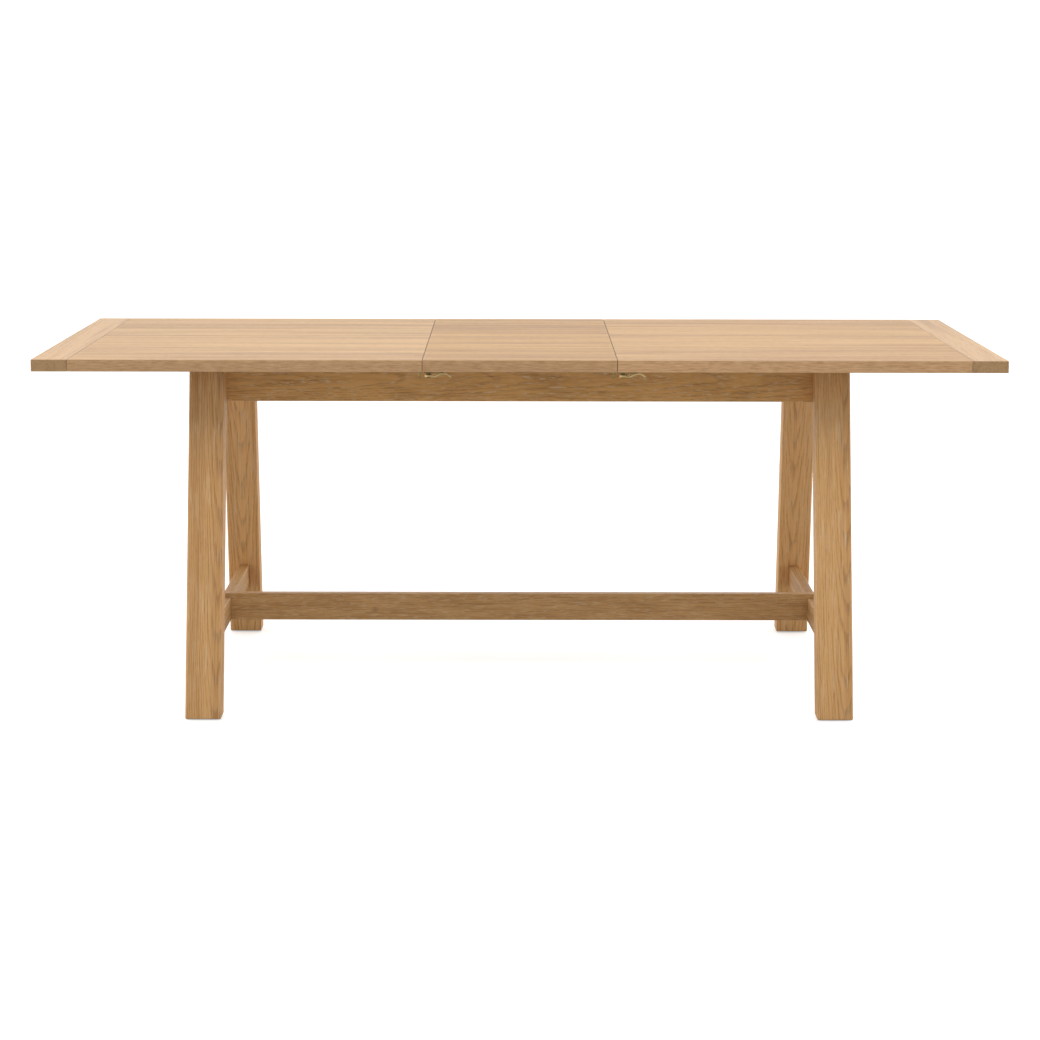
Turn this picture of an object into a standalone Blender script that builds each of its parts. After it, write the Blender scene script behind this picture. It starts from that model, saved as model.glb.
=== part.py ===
"""An extendable oak trestle table for dining, drawn open with its loose leaf in place.

Metres, +Z up, X along the length, the front edge at -Y. The origin is on the floor under the centre.
Two splayed trestles carry a box frame of aprons and head rails. Each half of the top slides outwards on
steel runners inside that frame, the leaf lifts out between them, and four brass catches lock the seams.
"""

import math

import bmesh
import bpy

# The whole table
TABLE_LENGTH = 2.000
TABLE_WIDTH = 0.900
TABLE_HEIGHT = 0.750
TOP_THICKNESS = 0.025
LEAF_LENGTH = 0.400
BREADBOARD_WIDTH = 0.074
SEAM_GAP = 0.0008
JOINT_GAP = 0.0003

# The trestles
LEG_WIDTH = 0.0745
LEG_DEPTH = 0.0525
LEG_OUTER_X = 0.6915
FOOT_FRONT_Y = 0.4585
SPLAY = 0.188
GLIDE_HEIGHT = 0.002
GLIDE_RADIUS = 0.012
RAIL_THICKNESS = 0.022
CROSS_RAIL_HEIGHT = 0.051
STRETCHER_HEIGHT = 0.060
LOW_RAIL_BOTTOM = 0.1175
LAP_HEIGHT = 0.0255
STRETCHER_REACH = 0.680

# The box frame under the top
APRON_BOTTOM = 0.6445
APRON_THICKNESS = 0.022
APRON_REACH = 0.6885
APRON_SEAT_DEPTH = 0.002
FRAME_CLEARANCE = 0.0025
HEAD_RAIL_THICKNESS = 0.025
HEAD_RAIL_RISE = 0.010
HEAD_RAIL_DROP = 0.001

# The tenons of the rails
TENON_THICKNESS = 0.012
TENON_SHOULDER = 0.008
LOW_TENON_LENGTH = 0.028
HEAD_TENON_LENGTH = 0.012
TENON_ROOT = 0.012

# The leg bolts
BOLT_RADIUS = 0.004
BOLT_LENGTH = 0.052
BOLT_HEAD_RADIUS = 0.0065
BOLT_HEAD_HEIGHT = 0.005
BOLT_SOCKET_RADIUS = 0.003
BOLT_SOCKET_DEPTH = 0.003
WASHER_RADIUS = 0.008
WASHER_THICKNESS = 0.0015
BOLT_PLACES = ((0.629, 0.660), (0.678, 0.700))

# The steel slides, two members each, and the wooden runners that they carry
SLIDE_LENGTH = 0.380
SLIDE_INNER_END = 0.015
SLIDE_TRAVEL = 0.200
SLIDE_CENTRE_Z = 0.6925
FIXED_SLIDE_HEIGHT = 0.035
FIXED_SLIDE_DEPTH = 0.011
MOVING_SLIDE_HEIGHT = 0.024
MOVING_SLIDE_DEPTH = 0.008
SLIDE_STACK_DEPTH = 0.012
SLIDE_WALL = 0.0015
RUNNER_WIDTH = 0.022
RUNNER_BOTTOM = 0.678

# The battens under the top, and the nylon strips on the aprons
BATTEN_THICKNESS = 0.0187
BATTEN_WIDTH = 0.036
INNER_BATTEN_X = 0.244
OUTER_BATTEN_X = 0.907
OUTER_BATTEN_WIDTH = 0.030
OUTER_BATTEN_REACH = 0.260
LEAF_BATTEN_X = 0.130
BATTEN_REACH = 0.220
STRIP_WIDTH = 0.014
STRIP_REACH = 0.600

# The breadboard joint
TONGUE_LENGTH = 0.012
TONGUE_THICKNESS = 0.008
TONGUE_REACH = 0.405

# The leaf catches, measured from the pivot of each lever
CATCH_SETBACK = 0.025
PIVOT_FROM_SEAM = 0.012
STUD_FROM_PIVOT = 0.018
PLATE_THICKNESS = 0.0025
PLATE_SIZE = (0.040, 0.024)
PLATE_OFFSET = 0.0105
PLATE_SCREWS_X = 0.010
KEEPER_SIZE = (0.014, 0.024)
KEEPER_OFFSET = -0.0205
PLATE_CORNER = 0.004
SCREW_HOLE_RADIUS = 0.002
SCREW_SPREAD = 0.29
LEVER_HEIGHT = 0.715
HUB_RADIUS = 0.0080
HUB_THICKNESS = 0.004
HUB_HOLE_RADIUS = 0.0028
POST_RADIUS = 0.0025
POST_HEAD_RADIUS = 0.0045
POST_PLAY = 0.0004
POST_HEAD_EDGE = 0.0012
POST_HEAD_HEIGHT = 0.0020
POST_DIMPLE_RADIUS = 0.0017
POST_DIMPLE_DEPTH = 0.0012
STUD_FOOT_RADIUS = 0.0030
STUD_FOOT_HEIGHT = 0.0020
STUD_RADIUS = 0.0019
STUD_HEAD_RADIUS = 0.0032
STUD_HEAD_LEVELS = (-0.0026, -0.0030, -0.0038, -0.0044)
HOOK_INNER_RADIUS = 0.0205
HOOK_OUTER_RADIUS = 0.0240
HOOK_ANGLES = (55, 97)
HOOK_THICKNESS = 0.002
SPOKE_ANGLE = 60
SPOKE_WIDTH = 0.005
SPOKE_THICKNESS = 0.0016
ARM_PATH = (
    (0.0058, -0.0005),
    (0.0100, -0.0018),
    (0.016, -0.0004),
    (0.024, 0.0030),
    (0.031, 0.0050),
    (0.036, 0.0044),
    (0.041, 0.0014),
    (0.0465, -0.0026),
)
ARM_THICKNESS = 0.0034
ARM_WIDTH = 0.008

# How far edges are eased
TOP_EASE = 0.001
LEG_EASE = 0.003
RAIL_EASE = 0.001
SMALL_EASE = 0.0006

# How the solids are drawn
CUTTER_REACH = 0.1
SHARP_ANGLE = math.radians(40)
ROUND_SIDES = 16
TURN_STEPS = 12
CORNER_STEPS = 3
PATH_STEPS = 3
HOOK_STEPS = 6

# Heights and places that follow from the sizes above
TOP_UNDERSIDE = TABLE_HEIGHT - TOP_THICKNESS
FRAME_TOP = TOP_UNDERSIDE - FRAME_CLEARANCE
LEG_X = LEG_OUTER_X - LEG_WIDTH / 2
APRON_FACE = FOOT_FRONT_Y - LEG_DEPTH - SPLAY * APRON_BOTTOM + APRON_SEAT_DEPTH
APRON_BACK = APRON_FACE - APRON_THICKNESS
SEAM_X = LEAF_LENGTH / 2
BREADBOARD_X = TABLE_LENGTH / 2 - BREADBOARD_WIDTH
HANGING_TOP = TOP_UNDERSIDE - JOINT_GAP

SIDES = {"left": -1, "right": 1}
ENDS = {"front": -1, "rear": 1}


def clear_scene():
    for old in list(bpy.data.objects):
        bpy.data.objects.remove(old, do_unlink=True)


def new_collection(name, is_part):
    collection = bpy.data.collections.new(name)
    collection.hide_render = not is_part
    bpy.context.scene.collection.children.link(collection)
    return collection


def new_finish(name, colour, roughness, metallic):
    material = bpy.data.materials.new(name)
    material.use_nodes = True
    shader = material.node_tree.nodes["Principled BSDF"]
    shader.inputs["Base Color"].default_value = (*colour, 1.0)
    shader.inputs["Roughness"].default_value = roughness
    shader.inputs["Metallic"].default_value = metallic
    material.diffuse_color = (*colour, 1.0)
    return material


def new_body(name, place):
    """An empty that carries the pieces of one moving body, on its joint's axis."""
    empty = bpy.data.objects.new(name, None)
    empty.location = place
    TABLE.objects.link(empty)
    return empty


def add_piece(name, mesh, place, body, finish):
    """A visible piece whose origin is at the world point place."""
    piece = bpy.data.objects.new(name, mesh)
    piece.parent = body
    piece.location = [place[axis] - body.location[axis] for axis in range(3)]
    piece.data.materials.append(finish)
    TABLE.objects.link(piece)
    return piece


def add_helper(name, mesh, place):
    """A cutter, or a shape to be joined on: kept out of the table itself."""
    helper = bpy.data.objects.new(name, mesh)
    helper.location = place
    helper.hide_render = True
    helper.display_type = "WIRE"
    HELPERS.objects.link(helper)
    return helper


def mesh_from(name, shape):
    mesh = bpy.data.meshes.new(name)
    shape.to_mesh(mesh)
    shape.free()
    return mesh


def box_mesh(name, size):
    shape = bmesh.new()
    bmesh.ops.create_cube(shape, size=1.0)
    bmesh.ops.scale(shape, vec=size, verts=shape.verts)
    return mesh_from(name, shape)


def cylinder_mesh(name, radius, length):
    shape = bmesh.new()
    bmesh.ops.create_cone(
        shape, cap_ends=True, segments=ROUND_SIDES, radius1=radius, radius2=radius, depth=length
    )
    mesh = mesh_from(name, shape)
    smooth_round(mesh)
    return mesh


def profile_mesh(name, profile):
    """An open line of (radius, height) points, to be turned about Z."""
    mesh = bpy.data.meshes.new(name)
    points = [(radius, 0, height) for radius, height in profile]
    mesh.from_pydata(points, [(i, i + 1) for i in range(len(points) - 1)], [])
    return mesh


def outline_mesh(name, points, thickness):
    """A flat shape with this outline in XY, thickness deep and centred on its plane."""
    curve = bpy.data.curves.new(name, "CURVE")
    curve.dimensions = "2D"
    curve.fill_mode = "BOTH"
    curve.extrude = thickness / 2
    line = curve.splines.new("POLY")
    line.points.add(len(points) - 1)
    line.use_cyclic_u = True
    for point, (x, y) in zip(line.points, points):
        point.co = (x, y, 0, 1)
    holder = bpy.data.objects.new(name, curve)
    HELPERS.objects.link(holder)
    graph = bpy.context.evaluated_depsgraph_get()
    mesh = bpy.data.meshes.new_from_object(holder.evaluated_get(graph))
    bpy.data.objects.remove(holder, do_unlink=True)
    shape = bmesh.new()
    shape.from_mesh(mesh)
    bmesh.ops.remove_doubles(shape, verts=shape.verts, dist=1e-6)
    bmesh.ops.recalc_face_normals(shape, faces=shape.faces)
    shape.to_mesh(mesh)
    shape.free()
    return mesh


def smooth_round(mesh):
    mesh.shade_smooth()
    mesh.set_sharp_from_angle(angle=SHARP_ANGLE)


def centre_and_size(low, high):
    centre = [(a + b) / 2 for a, b in zip(low, high)]
    size = [abs(b - a) for a, b in zip(low, high)]
    return centre, size


def ease_edges(piece, width):
    """Rounds the edges, or only chamfers them where the ease is very small."""
    bevel = piece.modifiers.new("eased_edges", "BEVEL")
    bevel.width = width
    bevel.segments = 2 if width > SMALL_EASE else 1
    bevel.limit_method = "ANGLE"
    bevel.use_clamp_overlap = True


def turn(piece):
    screw = piece.modifiers.new("turned", "SCREW")
    screw.steps = TURN_STEPS
    screw.render_steps = TURN_STEPS
    screw.use_merge_vertices = True
    screw.merge_threshold = 1e-5
    screw.use_smooth_shade = True


def boolean(piece, operation, other):
    modifier = piece.modifiers.new(other.name, "BOOLEAN")
    modifier.operation = operation
    modifier.solver = "EXACT"
    modifier.object = other


def block(name, low, high, body, finish, ease):
    """A box-shaped piece between two world corners, its edges eased."""
    centre, size = centre_and_size(low, high)
    piece = add_piece(name, box_mesh(name, size), centre, body, finish)
    ease_edges(piece, ease)
    return piece


def cut_box(piece, label, low, high):
    centre, size = centre_and_size(low, high)
    name = f"{piece.name}_{label}_cut"
    boolean(piece, "DIFFERENCE", add_helper(name, box_mesh(name, size), centre))


def join_box(piece, label, low, high):
    centre, size = centre_and_size(low, high)
    name = f"{piece.name}_{label}"
    boolean(piece, "UNION", add_helper(name, box_mesh(name, size), centre))


def cut_round(piece, label, centre, radius, length, along_y=False):
    name = f"{piece.name}_{label}_cut"
    cutter = add_helper(name, cylinder_mesh(name, radius, length), centre)
    if along_y:
        cutter.rotation_euler.x = math.radians(90)
    boolean(piece, "DIFFERENCE", cutter)


def join_turned(piece, label, profile, place):
    name = f"{piece.name}_{label}"
    helper = add_helper(name, profile_mesh(name, profile), place)
    turn(helper)
    boolean(piece, "UNION", helper)


def arc(radius, start, end, steps):
    """Points on an arc about the origin, angles in degrees."""
    angles = [math.radians(start + (end - start) * i / steps) for i in range(steps + 1)]
    return [(radius * math.cos(angle), radius * math.sin(angle)) for angle in angles]


def rounded_rectangle(length, width, corner):
    points = []
    for quarter in range(4):
        along = (1, -1, -1, 1)[quarter]
        across = (1, 1, -1, -1)[quarter]
        centre_x = along * (length / 2 - corner)
        centre_y = across * (width / 2 - corner)
        for x, y in arc(corner, 90 * quarter, 90 * quarter + 90, CORNER_STEPS):
            points.append((centre_x + x, centre_y + y))
    return points


def smooth_path(points):
    """A Catmull-Rom line through the points."""
    padded = [points[0], *points, points[-1]]
    path = []
    for a, b, c, d in zip(padded, padded[1:], padded[2:], padded[3:]):
        for i in range(PATH_STEPS):
            t = i / PATH_STEPS
            path.append(
                tuple(
                    0.5
                    * (
                        2 * q
                        + (r - p) * t
                        + (2 * p - 5 * q + 4 * r - s) * t**2
                        + (3 * q - p - 3 * r + s) * t**3
                    )
                    for p, q, r, s in zip(a, b, c, d)
                )
            )
    return [*path, points[-1]]


def ribbon(path, thickness):
    """The outline of a strip of this thickness along the path."""
    upper, lower = [], []
    for i, (x, z) in enumerate(path):
        before = path[max(i - 1, 0)]
        after = path[min(i + 1, len(path) - 1)]
        run, rise = after[0] - before[0], after[1] - before[1]
        reach = math.hypot(run, rise)
        offset_x = -rise / reach * thickness / 2
        offset_z = run / reach * thickness / 2
        upper.append((x + offset_x, z + offset_z))
        lower.append((x - offset_x, z - offset_z))
    return lower + upper[::-1]


def leg_back(height):
    """The distance from the table's centre plane to a leg's inner face, at this height."""
    return FOOT_FRONT_Y - LEG_DEPTH - SPLAY * height


def make_leg(side_name, side, end_name, end):
    """One splayed leg, seated against the apron, with its mortise and bolt holes."""
    height = FRAME_TOP - GLIDE_HEIGHT
    middle_z = GLIDE_HEIGHT + height / 2
    middle_y = FOOT_FRONT_Y - LEG_DEPTH / 2 - SPLAY * middle_z
    mesh = box_mesh("leg", (LEG_WIDTH, LEG_DEPTH, height))
    for vertex in mesh.vertices:
        vertex.co.y -= end * SPLAY * vertex.co.z
    name = f"{end_name}_{side_name}_leg"
    leg = add_piece(name, mesh, (side * LEG_X, end * middle_y, middle_z), BASE, OAK)
    ease_edges(leg, LEG_EASE)
    inner, outer = side * (LEG_X - LEG_WIDTH), side * (LEG_X + LEG_WIDTH)
    seat = APRON_FACE + JOINT_GAP
    cut_box(
        leg,
        "apron_seat",
        (inner, end * (seat - LEG_DEPTH), APRON_BOTTOM - JOINT_GAP),
        (outer, end * seat, TABLE_HEIGHT),
    )
    half = TENON_THICKNESS / 2 + JOINT_GAP
    low = LOW_RAIL_BOTTOM + TENON_SHOULDER - JOINT_GAP
    high = LOW_RAIL_BOTTOM + CROSS_RAIL_HEIGHT - TENON_SHOULDER + JOINT_GAP
    tip = leg_back((low + high) / 2) + LOW_TENON_LENGTH + JOINT_GAP
    cut_box(
        leg,
        "mortise",
        (side * LEG_X - half, end * (tip - LEG_DEPTH), low),
        (side * LEG_X + half, end * tip, high),
    )
    for number, (x, z) in enumerate(BOLT_PLACES):
        reach = BOLT_LENGTH - APRON_THICKNESS + JOINT_GAP
        centre = (side * x, end * APRON_FACE, z)
        cut_round(leg, f"bolt_{number}", centre, BOLT_RADIUS + JOINT_GAP, 2 * reach, True)


def make_foot_glide(side_name, side, end_name, end):
    thickness = GLIDE_HEIGHT - JOINT_GAP
    chamfer = thickness / 2
    profile = (
        (0, thickness),
        (GLIDE_RADIUS, thickness),
        (GLIDE_RADIUS, chamfer),
        (GLIDE_RADIUS - chamfer, 0),
        (0, 0),
    )
    name = f"{end_name}_{side_name}_foot_glide"
    place = (side * LEG_X, end * (FOOT_FRONT_Y - LEG_DEPTH / 2), 0)
    turn(add_piece(name, profile_mesh(name, profile), place, BASE, NYLON))


def make_leg_bolts(side_name, side, end_name, end):
    """Two socket-headed bolts with washers, through the apron from inside the box frame."""
    head_top = WASHER_THICKNESS + BOLT_HEAD_HEIGHT
    profile = (
        (0, head_top - BOLT_SOCKET_DEPTH),
        (BOLT_SOCKET_RADIUS, head_top - BOLT_SOCKET_DEPTH),
        (BOLT_SOCKET_RADIUS, head_top),
        (BOLT_HEAD_RADIUS, head_top),
        (BOLT_HEAD_RADIUS, WASHER_THICKNESS),
        (WASHER_RADIUS, WASHER_THICKNESS),
        (WASHER_RADIUS, 0),
        (BOLT_RADIUS, 0),
        (BOLT_RADIUS, -BOLT_LENGTH),
        (0, -BOLT_LENGTH),
    )
    for label, (x, z) in zip(("inner", "outer"), BOLT_PLACES):
        name = f"{end_name}_{side_name}_{label}_leg_bolt"
        place = (side * x, end * (APRON_BACK - JOINT_GAP), z)
        bolt = add_piece(name, profile_mesh(name, profile), place, BASE, STEEL)
        bolt.rotation_euler.x = end * math.radians(90)
        turn(bolt)


def make_cross_rail(side_name, side):
    """The low rail of a trestle, its ends cut to the legs' splay and tenoned into them.

    It starts with its ends at 1 and -1, and each end corner is then drawn in to the leg's face.
    """
    centre = (side * LEG_X, 0, LOW_RAIL_BOTTOM + CROSS_RAIL_HEIGHT / 2)
    mesh = box_mesh("cross_rail", (RAIL_THICKNESS, 2, CROSS_RAIL_HEIGHT))
    for vertex in mesh.vertices:
        vertex.co.y *= leg_back(centre[2] + vertex.co.z) - JOINT_GAP
    rail = add_piece(f"{side_name}_cross_rail", mesh, centre, BASE, OAK)
    ease_edges(rail, RAIL_EASE)
    half = TENON_THICKNESS / 2
    low = LOW_RAIL_BOTTOM + TENON_SHOULDER
    high = LOW_RAIL_BOTTOM + CROSS_RAIL_HEIGHT - TENON_SHOULDER
    face = leg_back((low + high) / 2)
    for end_name, end in ENDS.items():
        join_box(
            rail,
            f"{end_name}_tenon",
            (centre[0] - half, end * (face - TENON_ROOT), low),
            (centre[0] + half, end * (face + LOW_TENON_LENGTH), high),
        )
    slot = RAIL_THICKNESS / 2 + JOINT_GAP
    lap = LOW_RAIL_BOTTOM + LAP_HEIGHT
    wide = centre[0] - RAIL_THICKNESS
    cut_box(
        rail, "lap", (wide, -slot, lap), (wide + 2 * RAIL_THICKNESS, slot, lap + CUTTER_REACH)
    )


def make_stretcher():
    """The long rail between the trestles, lapped over both cross rails."""
    half = RAIL_THICKNESS / 2
    top = LOW_RAIL_BOTTOM + STRETCHER_HEIGHT
    stretcher = block(
        "long_stretcher",
        (-STRETCHER_REACH, -half, LOW_RAIL_BOTTOM),
        (STRETCHER_REACH, half, top),
        BASE,
        OAK,
        RAIL_EASE,
    )
    slot = half + JOINT_GAP
    lap = LOW_RAIL_BOTTOM + LAP_HEIGHT + JOINT_GAP
    for side_name, side in SIDES.items():
        cut_box(
            stretcher,
            f"{side_name}_lap",
            (side * LEG_X - slot, -RAIL_THICKNESS, lap - CUTTER_REACH),
            (side * LEG_X + slot, RAIL_THICKNESS, lap),
        )


def head_rail_heights():
    return APRON_BOTTOM + HEAD_RAIL_RISE, FRAME_TOP - HEAD_RAIL_DROP


def make_apron(end_name, end):
    """A long side of the box frame, mortised for the head rails and drilled for the leg bolts."""
    apron = block(
        f"{end_name}_apron",
        (-APRON_REACH, end * APRON_BACK, APRON_BOTTOM),
        (APRON_REACH, end * APRON_FACE, FRAME_TOP),
        BASE,
        OAK,
        RAIL_EASE,
    )
    half = TENON_THICKNESS / 2 + JOINT_GAP
    bottom, top = head_rail_heights()
    middle = (APRON_FACE + APRON_BACK) / 2
    for side_name, side in SIDES.items():
        cut_box(
            apron,
            f"{side_name}_mortise",
            (
                side * LEG_X - half,
                end * (APRON_BACK - APRON_THICKNESS),
                bottom + TENON_SHOULDER - JOINT_GAP,
            ),
            (
                side * LEG_X + half,
                end * (APRON_BACK + HEAD_TENON_LENGTH + JOINT_GAP),
                top - TENON_SHOULDER + JOINT_GAP,
            ),
        )
        for number, (x, z) in enumerate(BOLT_PLACES):
            label = f"{side_name}_bolt_{number}"
            centre = (side * x, end * middle, z)
            cut_round(apron, label, centre, BOLT_RADIUS + JOINT_GAP, 2 * APRON_THICKNESS, True)


def make_glide_strip(end_name, end):
    middle = end * (APRON_FACE + APRON_BACK) / 2
    block(
        f"{end_name}_glide_strip",
        (-STRIP_REACH, middle - STRIP_WIDTH / 2, FRAME_TOP + JOINT_GAP),
        (STRIP_REACH, middle + STRIP_WIDTH / 2, HANGING_TOP),
        BASE,
        NYLON,
        SMALL_EASE,
    )


def make_head_rail(side_name, side):
    """The short side of the box frame over a trestle, tenoned into both aprons."""
    bottom, top = head_rail_heights()
    half = HEAD_RAIL_THICKNESS / 2
    reach = APRON_BACK - JOINT_GAP
    rail = block(
        f"{side_name}_head_rail",
        (side * LEG_X - half, -reach, bottom),
        (side * LEG_X + half, reach, top),
        BASE,
        OAK,
        RAIL_EASE,
    )
    half = TENON_THICKNESS / 2
    for end_name, end in ENDS.items():
        join_box(
            rail,
            f"{end_name}_tenon",
            (side * LEG_X - half, end * (reach - TENON_ROOT), bottom + TENON_SHOULDER),
            (side * LEG_X + half, end * (APRON_BACK + HEAD_TENON_LENGTH), top - TENON_SHOULDER),
        )


def make_slide_member(name, x_range, y_range, height, open_outwards, end, body):
    """A folded steel channel along X. y_range is given from the outer side to the inner side."""
    half = height / 2
    outer, inner = y_range
    member = block(
        name,
        (x_range[0], end * outer, SLIDE_CENTRE_Z - half),
        (x_range[1], end * inner, SLIDE_CENTRE_Z + half),
        body,
        STEEL,
        SLIDE_WALL / 4,
    )
    if open_outwards:
        hollow = (outer + height, inner + SLIDE_WALL)
    else:
        hollow = (outer - SLIDE_WALL, inner - height)
    cut_box(
        member,
        "channel",
        (x_range[0] - height, end * hollow[0], SLIDE_CENTRE_Z - half + SLIDE_WALL),
        (x_range[1] + height, end * hollow[1], SLIDE_CENTRE_Z + half - SLIDE_WALL),
    )


def make_slide(side_name, side, end_name, end, half_top):
    """One two-member slide, drawn out by its travel, and the wooden runner that it carries."""
    fixed_x = sorted((side * SLIDE_INNER_END, side * (SLIDE_INNER_END + SLIDE_LENGTH)))
    moving_x = [x + side * SLIDE_TRAVEL for x in fixed_x]
    outer = APRON_BACK - JOINT_GAP
    inner = outer - SLIDE_STACK_DEPTH
    make_slide_member(
        f"{side_name}_{end_name}_fixed_slide",
        fixed_x,
        (outer, outer - FIXED_SLIDE_DEPTH),
        FIXED_SLIDE_HEIGHT,
        False,
        end,
        BASE,
    )
    make_slide_member(
        f"{side_name}_{end_name}_moving_slide",
        moving_x,
        (inner + MOVING_SLIDE_DEPTH, inner),
        MOVING_SLIDE_HEIGHT,
        True,
        end,
        half_top,
    )
    face = inner - JOINT_GAP
    block(
        f"{side_name}_{end_name}_runner",
        (moving_x[0], end * face, RUNNER_BOTTOM),
        (moving_x[1], end * (face - RUNNER_WIDTH), HANGING_TOP),
        half_top,
        OAK,
        SMALL_EASE,
    )


def make_batten(name, x, width, reach, body):
    block(
        name,
        (x - width / 2, -reach, HANGING_TOP - BATTEN_THICKNESS),
        (x + width / 2, reach, HANGING_TOP),
        body,
        OAK,
        SMALL_EASE,
    )


def make_half_top(side_name, side, half_top):
    """A glued-up panel tongued into its breadboard end, with two battens underneath."""
    edge = TABLE_WIDTH / 2
    middle = TABLE_HEIGHT - TOP_THICKNESS / 2
    panel = block(
        f"{side_name}_top_panel",
        (side * (SEAM_X + SEAM_GAP / 2), -edge, TOP_UNDERSIDE),
        (side * (BREADBOARD_X - JOINT_GAP / 2), edge, TABLE_HEIGHT),
        half_top,
        OAK_TOP,
        TOP_EASE,
    )
    half = TONGUE_THICKNESS / 2
    join_box(
        panel,
        "tongue",
        (side * (BREADBOARD_X - TENON_ROOT), -TONGUE_REACH, middle - half),
        (side * (BREADBOARD_X + TONGUE_LENGTH), TONGUE_REACH, middle + half),
    )
    breadboard = block(
        f"{side_name}_breadboard_end",
        (side * (BREADBOARD_X + JOINT_GAP / 2), -edge, TOP_UNDERSIDE),
        (side * TABLE_LENGTH / 2, edge, TABLE_HEIGHT),
        half_top,
        OAK_TOP,
        TOP_EASE,
    )
    reach = TONGUE_REACH + JOINT_GAP
    half += JOINT_GAP
    cut_box(
        breadboard,
        "groove",
        (side * (BREADBOARD_X - TENON_ROOT), -reach, middle - half),
        (side * (BREADBOARD_X + TONGUE_LENGTH + JOINT_GAP), reach, middle + half),
    )
    inner_x, outer_x = side * INNER_BATTEN_X, side * OUTER_BATTEN_X
    make_batten(f"{side_name}_inner_batten", inner_x, BATTEN_WIDTH, BATTEN_REACH, half_top)
    make_batten(
        f"{side_name}_outer_batten", outer_x, OUTER_BATTEN_WIDTH, OUTER_BATTEN_REACH, half_top
    )


def make_leaf():
    edge = SEAM_X - SEAM_GAP / 2
    block(
        "leaf_panel",
        (-edge, -TABLE_WIDTH / 2, TOP_UNDERSIDE),
        (edge, TABLE_WIDTH / 2, TABLE_HEIGHT),
        LEAF,
        OAK_TOP,
        TOP_EASE,
    )
    for side_name, side in SIDES.items():
        name = f"leaf_{side_name}_batten"
        make_batten(name, side * LEAF_BATTEN_X, BATTEN_WIDTH, BATTEN_REACH, LEAF)


def make_plate(name, centre_x, centre_y, size, screw_x, body):
    """A thin brass plate against the underside of the top, with two screw holes."""
    centre = (centre_x, centre_y, HANGING_TOP - PLATE_THICKNESS / 2)
    mesh = outline_mesh(name, rounded_rectangle(*size, PLATE_CORNER), PLATE_THICKNESS)
    plate = add_piece(name, mesh, centre, body, BRASS)
    for number, across in enumerate((-1, 1)):
        place = (centre_x + screw_x, centre_y + across * size[1] * SCREW_SPREAD, centre[2])
        cut_round(plate, f"screw_{number}", place, SCREW_HOLE_RADIUS, 4 * PLATE_THICKNESS)
    return plate


def make_catch_plate(name, pivot, body):
    """The plate and its riveted post: shoulder, shank and hollow head, down from the top."""
    centre_x = pivot[0] + PLATE_OFFSET
    plate = make_plate(name, centre_x, pivot[1], PLATE_SIZE, PLATE_SCREWS_X, body)
    ceiling = HANGING_TOP - PLATE_THICKNESS / 2 - LEVER_HEIGHT
    shoulder = HUB_THICKNESS / 2 + POST_PLAY
    profile = (
        (0, ceiling),
        (POST_HEAD_RADIUS, ceiling),
        (POST_HEAD_RADIUS, shoulder),
        (POST_RADIUS, shoulder),
        (POST_RADIUS, -shoulder),
        (POST_HEAD_RADIUS, -shoulder),
        (POST_HEAD_RADIUS, -shoulder - POST_HEAD_EDGE),
        (POST_RADIUS, -shoulder - POST_HEAD_HEIGHT),
        (POST_DIMPLE_RADIUS, -shoulder - POST_HEAD_HEIGHT),
        (POST_DIMPLE_RADIUS, -shoulder - POST_HEAD_HEIGHT + POST_DIMPLE_DEPTH),
        (0, -shoulder - POST_HEAD_HEIGHT + POST_DIMPLE_DEPTH),
    )
    join_turned(plate, "post", profile, pivot)


def make_catch_keeper(name, pivot, body):
    """The plate across the seam, and the headed stud that the hook draws against."""
    keeper = make_plate(name, pivot[0] + KEEPER_OFFSET, pivot[1], KEEPER_SIZE, 0, body)
    ceiling = HANGING_TOP - PLATE_THICKNESS / 2 - LEVER_HEIGHT
    neck, upper, lower, tip = STUD_HEAD_LEVELS
    profile = (
        (0, ceiling),
        (STUD_FOOT_RADIUS, ceiling),
        (STUD_RADIUS, ceiling - STUD_FOOT_HEIGHT),
        (STUD_RADIUS, neck),
        (STUD_HEAD_RADIUS, upper),
        (STUD_HEAD_RADIUS, lower),
        (STUD_RADIUS, tip),
        (0, tip),
    )
    join_turned(keeper, "stud", profile, (pivot[0] - STUD_FROM_PIVOT, pivot[1], pivot[2]))


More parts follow.
